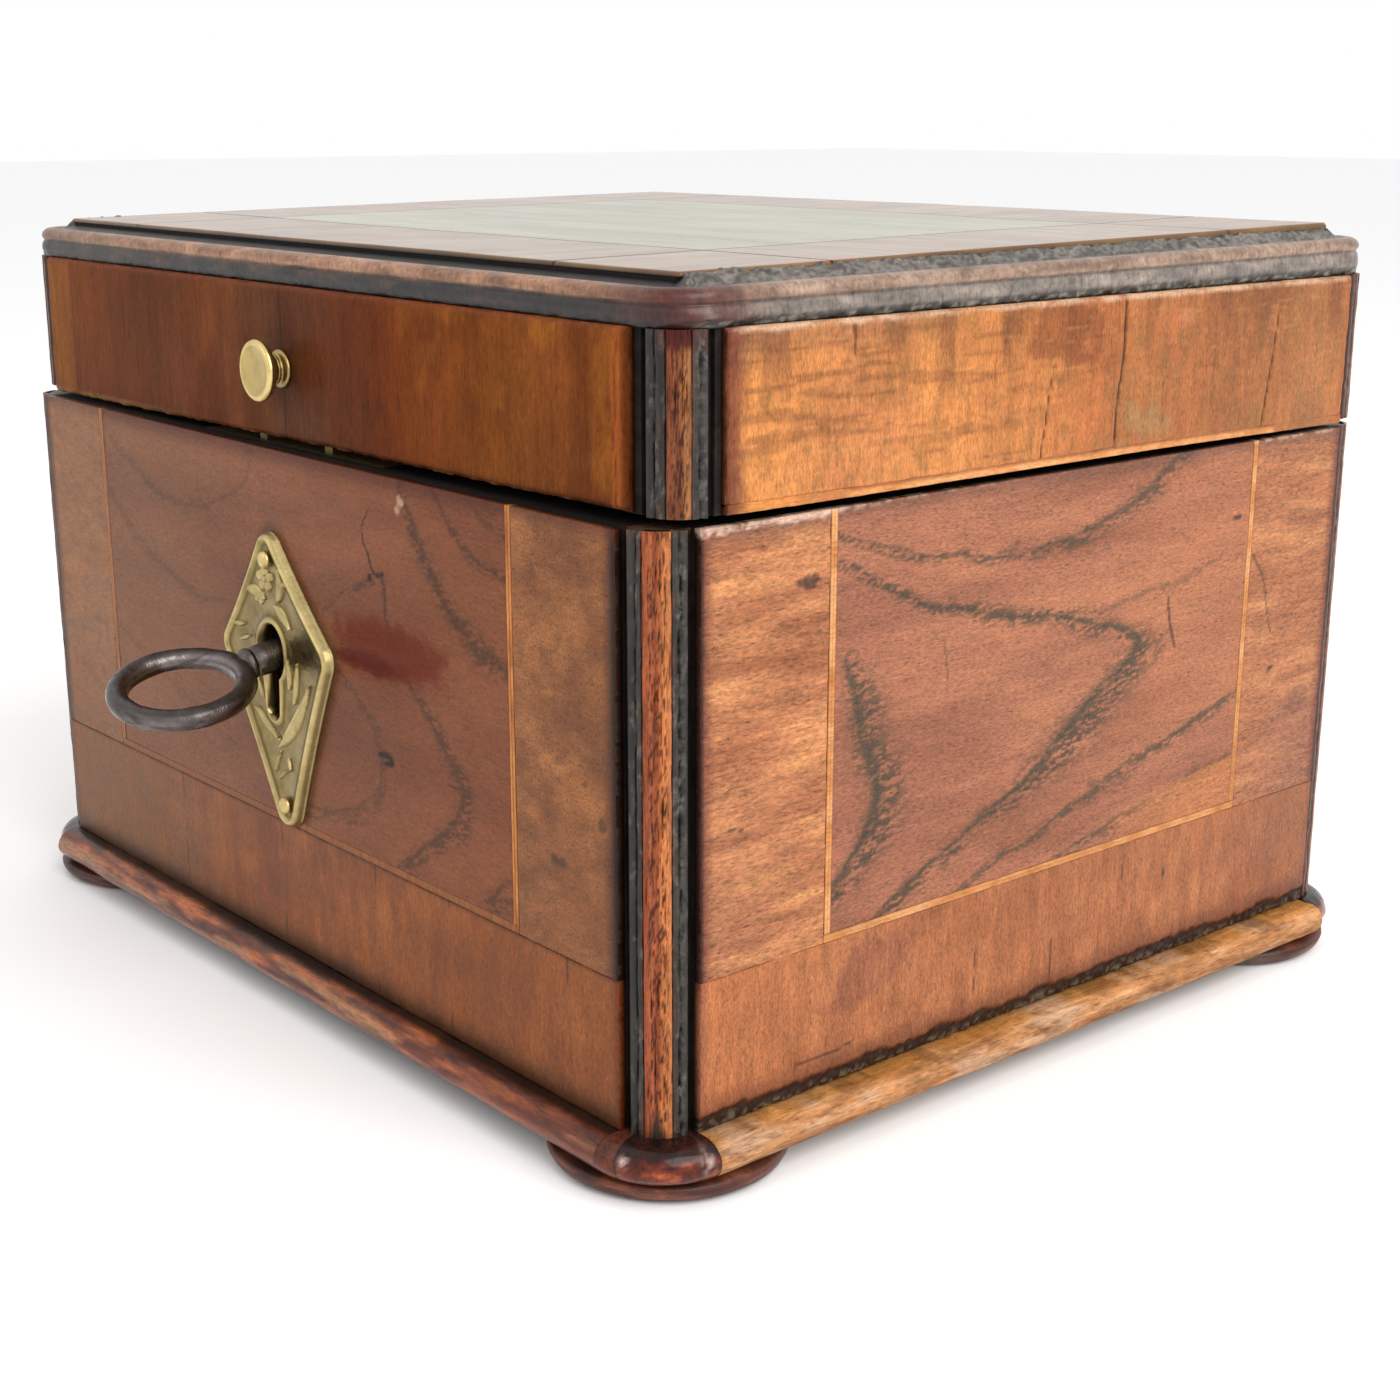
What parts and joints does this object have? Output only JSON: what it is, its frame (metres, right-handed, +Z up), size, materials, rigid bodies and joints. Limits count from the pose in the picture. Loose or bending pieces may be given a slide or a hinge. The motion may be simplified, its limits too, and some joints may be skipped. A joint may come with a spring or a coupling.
{
  "type": "tea caddy",
  "caption": "Veneered rectangular box on bun feet with a hinged lid, lock and ring key, and lidded compartments inside for loose tea.",
  "frame": {"origin": "middle of the whole object's footprint, on the surface that the feet rest on", "axes": "+X to the right seen from the keyhole side, +Y from the keyhole side to the hinge side, +Z up"},
  "size_m": [0.214, 0.209, 0.1372],
  "materials": {
    "carcase_pine": "dry, unpolished softwood",
    "ebonised": "black stained, worn polish",
    "banding": "polished, streaked orange-red",
    "elm_field": "satin polish, figured",
    "boxwood": "satin polish",
    "crossband": "satin polish, cross grain",
    "plain_veneer": "worn polish",
    "moulding_dark": "gloss polish, dark stain",
    "moulding_bare": "bare, dusty",
    "feet": "worn stain",
    "lining_board": "waxed",
    "tin": "dull grey tea lead",
    "brass": "aged, handled",
    "lock_iron": "dark, filed",
    "screw_steel": "old steel",
    "lid_veneer": "gloss polish, vertical grain",
    "cornice": "ebonised, worn to the wood on its bead",
    "top_veneer": "gloss polish",
    "key_iron": "worn dark iron, bright edges",
    "inner_lid": "waxed"
  },
  "bodies": {
    "case": {"bottom_board": "carcase_pine", "front_board": "carcase_pine", "back_board": "carcase_pine", "left_board": "carcase_pine", "right_board": "carcase_pine", "corner_posts": "ebonised", "corner_bandings": "banding", "front_field": "elm_field", "side_fields": "elm_field", "front_stringing": "boxwood", "side_stringing": "boxwood", "front_crossbanding": "crossband", "side_crossbanding": "crossband", "back_veneer": "plain_veneer", "base_moulding_front": "moulding_dark", "base_moulding_back": "moulding_dark", "base_moulding_left": "moulding_bare", "base_moulding_right": "moulding_bare", "base_corner_blocks": "moulding_dark", "bun_feet": "feet", "compartment_divider": "lining_board", "inner_linings": "lining_board", "tin_linings": "tin", "escutcheon": "brass", "escutcheon_pins": "brass", "lock_case": "lock_iron", "lock_cap": "lock_iron", "lock_selvedge": "brass", "lock_screws": "screw_steel", "hinge_lower_leaves": "brass", "hinge_pins": "screw_steel", "hinge_screws_lower": "screw_steel"},
    "lid": {"lid_front_board": "carcase_pine", "lid_back_board": "carcase_pine", "lid_left_board": "carcase_pine", "lid_right_board": "carcase_pine", "lid_top_board": "carcase_pine", "lid_corner_posts": "ebonised", "lid_corner_bandings": "banding", "lid_front_veneer": "lid_veneer", "lid_back_veneer": "plain_veneer", "lid_side_veneers": "lid_veneer", "lid_edge_stringing": "boxwood", "cornice": "cornice", "top_field": "top_veneer", "top_crossbanding": "top_veneer", "top_corner_squares": "top_veneer", "lid_lining": "lining_board", "lid_knob": "brass", "link_plate": "brass", "link_plate_screws": "screw_steel", "hinge_upper_leaves": "brass", "hinge_screws_upper": "screw_steel"},
    "key": {"key": "key_iron"},
    "bolt": {"lock_bolt": "lock_iron"},
    "left_inner_lid": {"inner_lid_left": "inner_lid", "inner_lid_knob_left": "brass"},
    "right_inner_lid": {"inner_lid_right": "inner_lid", "inner_lid_knob_right": "brass"}
  },
  "joints": [
    {"name": "lid_hinge", "type": "hinge", "parent": "case", "child": "lid", "pos_m": [0, 0.10197, 0.10305], "axis": [-1, 0, 0], "range_deg": [0, 100]},
    {"name": "key_turn", "type": "hinge", "parent": "case", "child": "key", "pos_m": [-0.0022, -0.07103, 0.0663], "axis": [0, -0.9863, -0.165], "range_deg": [-90, 270]},
    {"name": "bolt_throw", "type": "slide", "parent": "case", "child": "bolt", "axis": [1, 0, 0], "range_m": [-0.0015, 0.0045]},
    {"name": "left_inner_lid_lift", "type": "slide", "parent": "case", "child": "left_inner_lid", "axis": [0, 0, 1], "range_m": [0, 0.022]},
    {"name": "right_inner_lid_lift", "type": "slide", "parent": "case", "child": "right_inner_lid", "axis": [0, 0, 1], "range_m": [0, 0.022]}
  ],
  "couplings": [
    {"joint": "bolt_throw", "follows": "key_turn", "m_per_rad": 0.00095398}
  ]
}
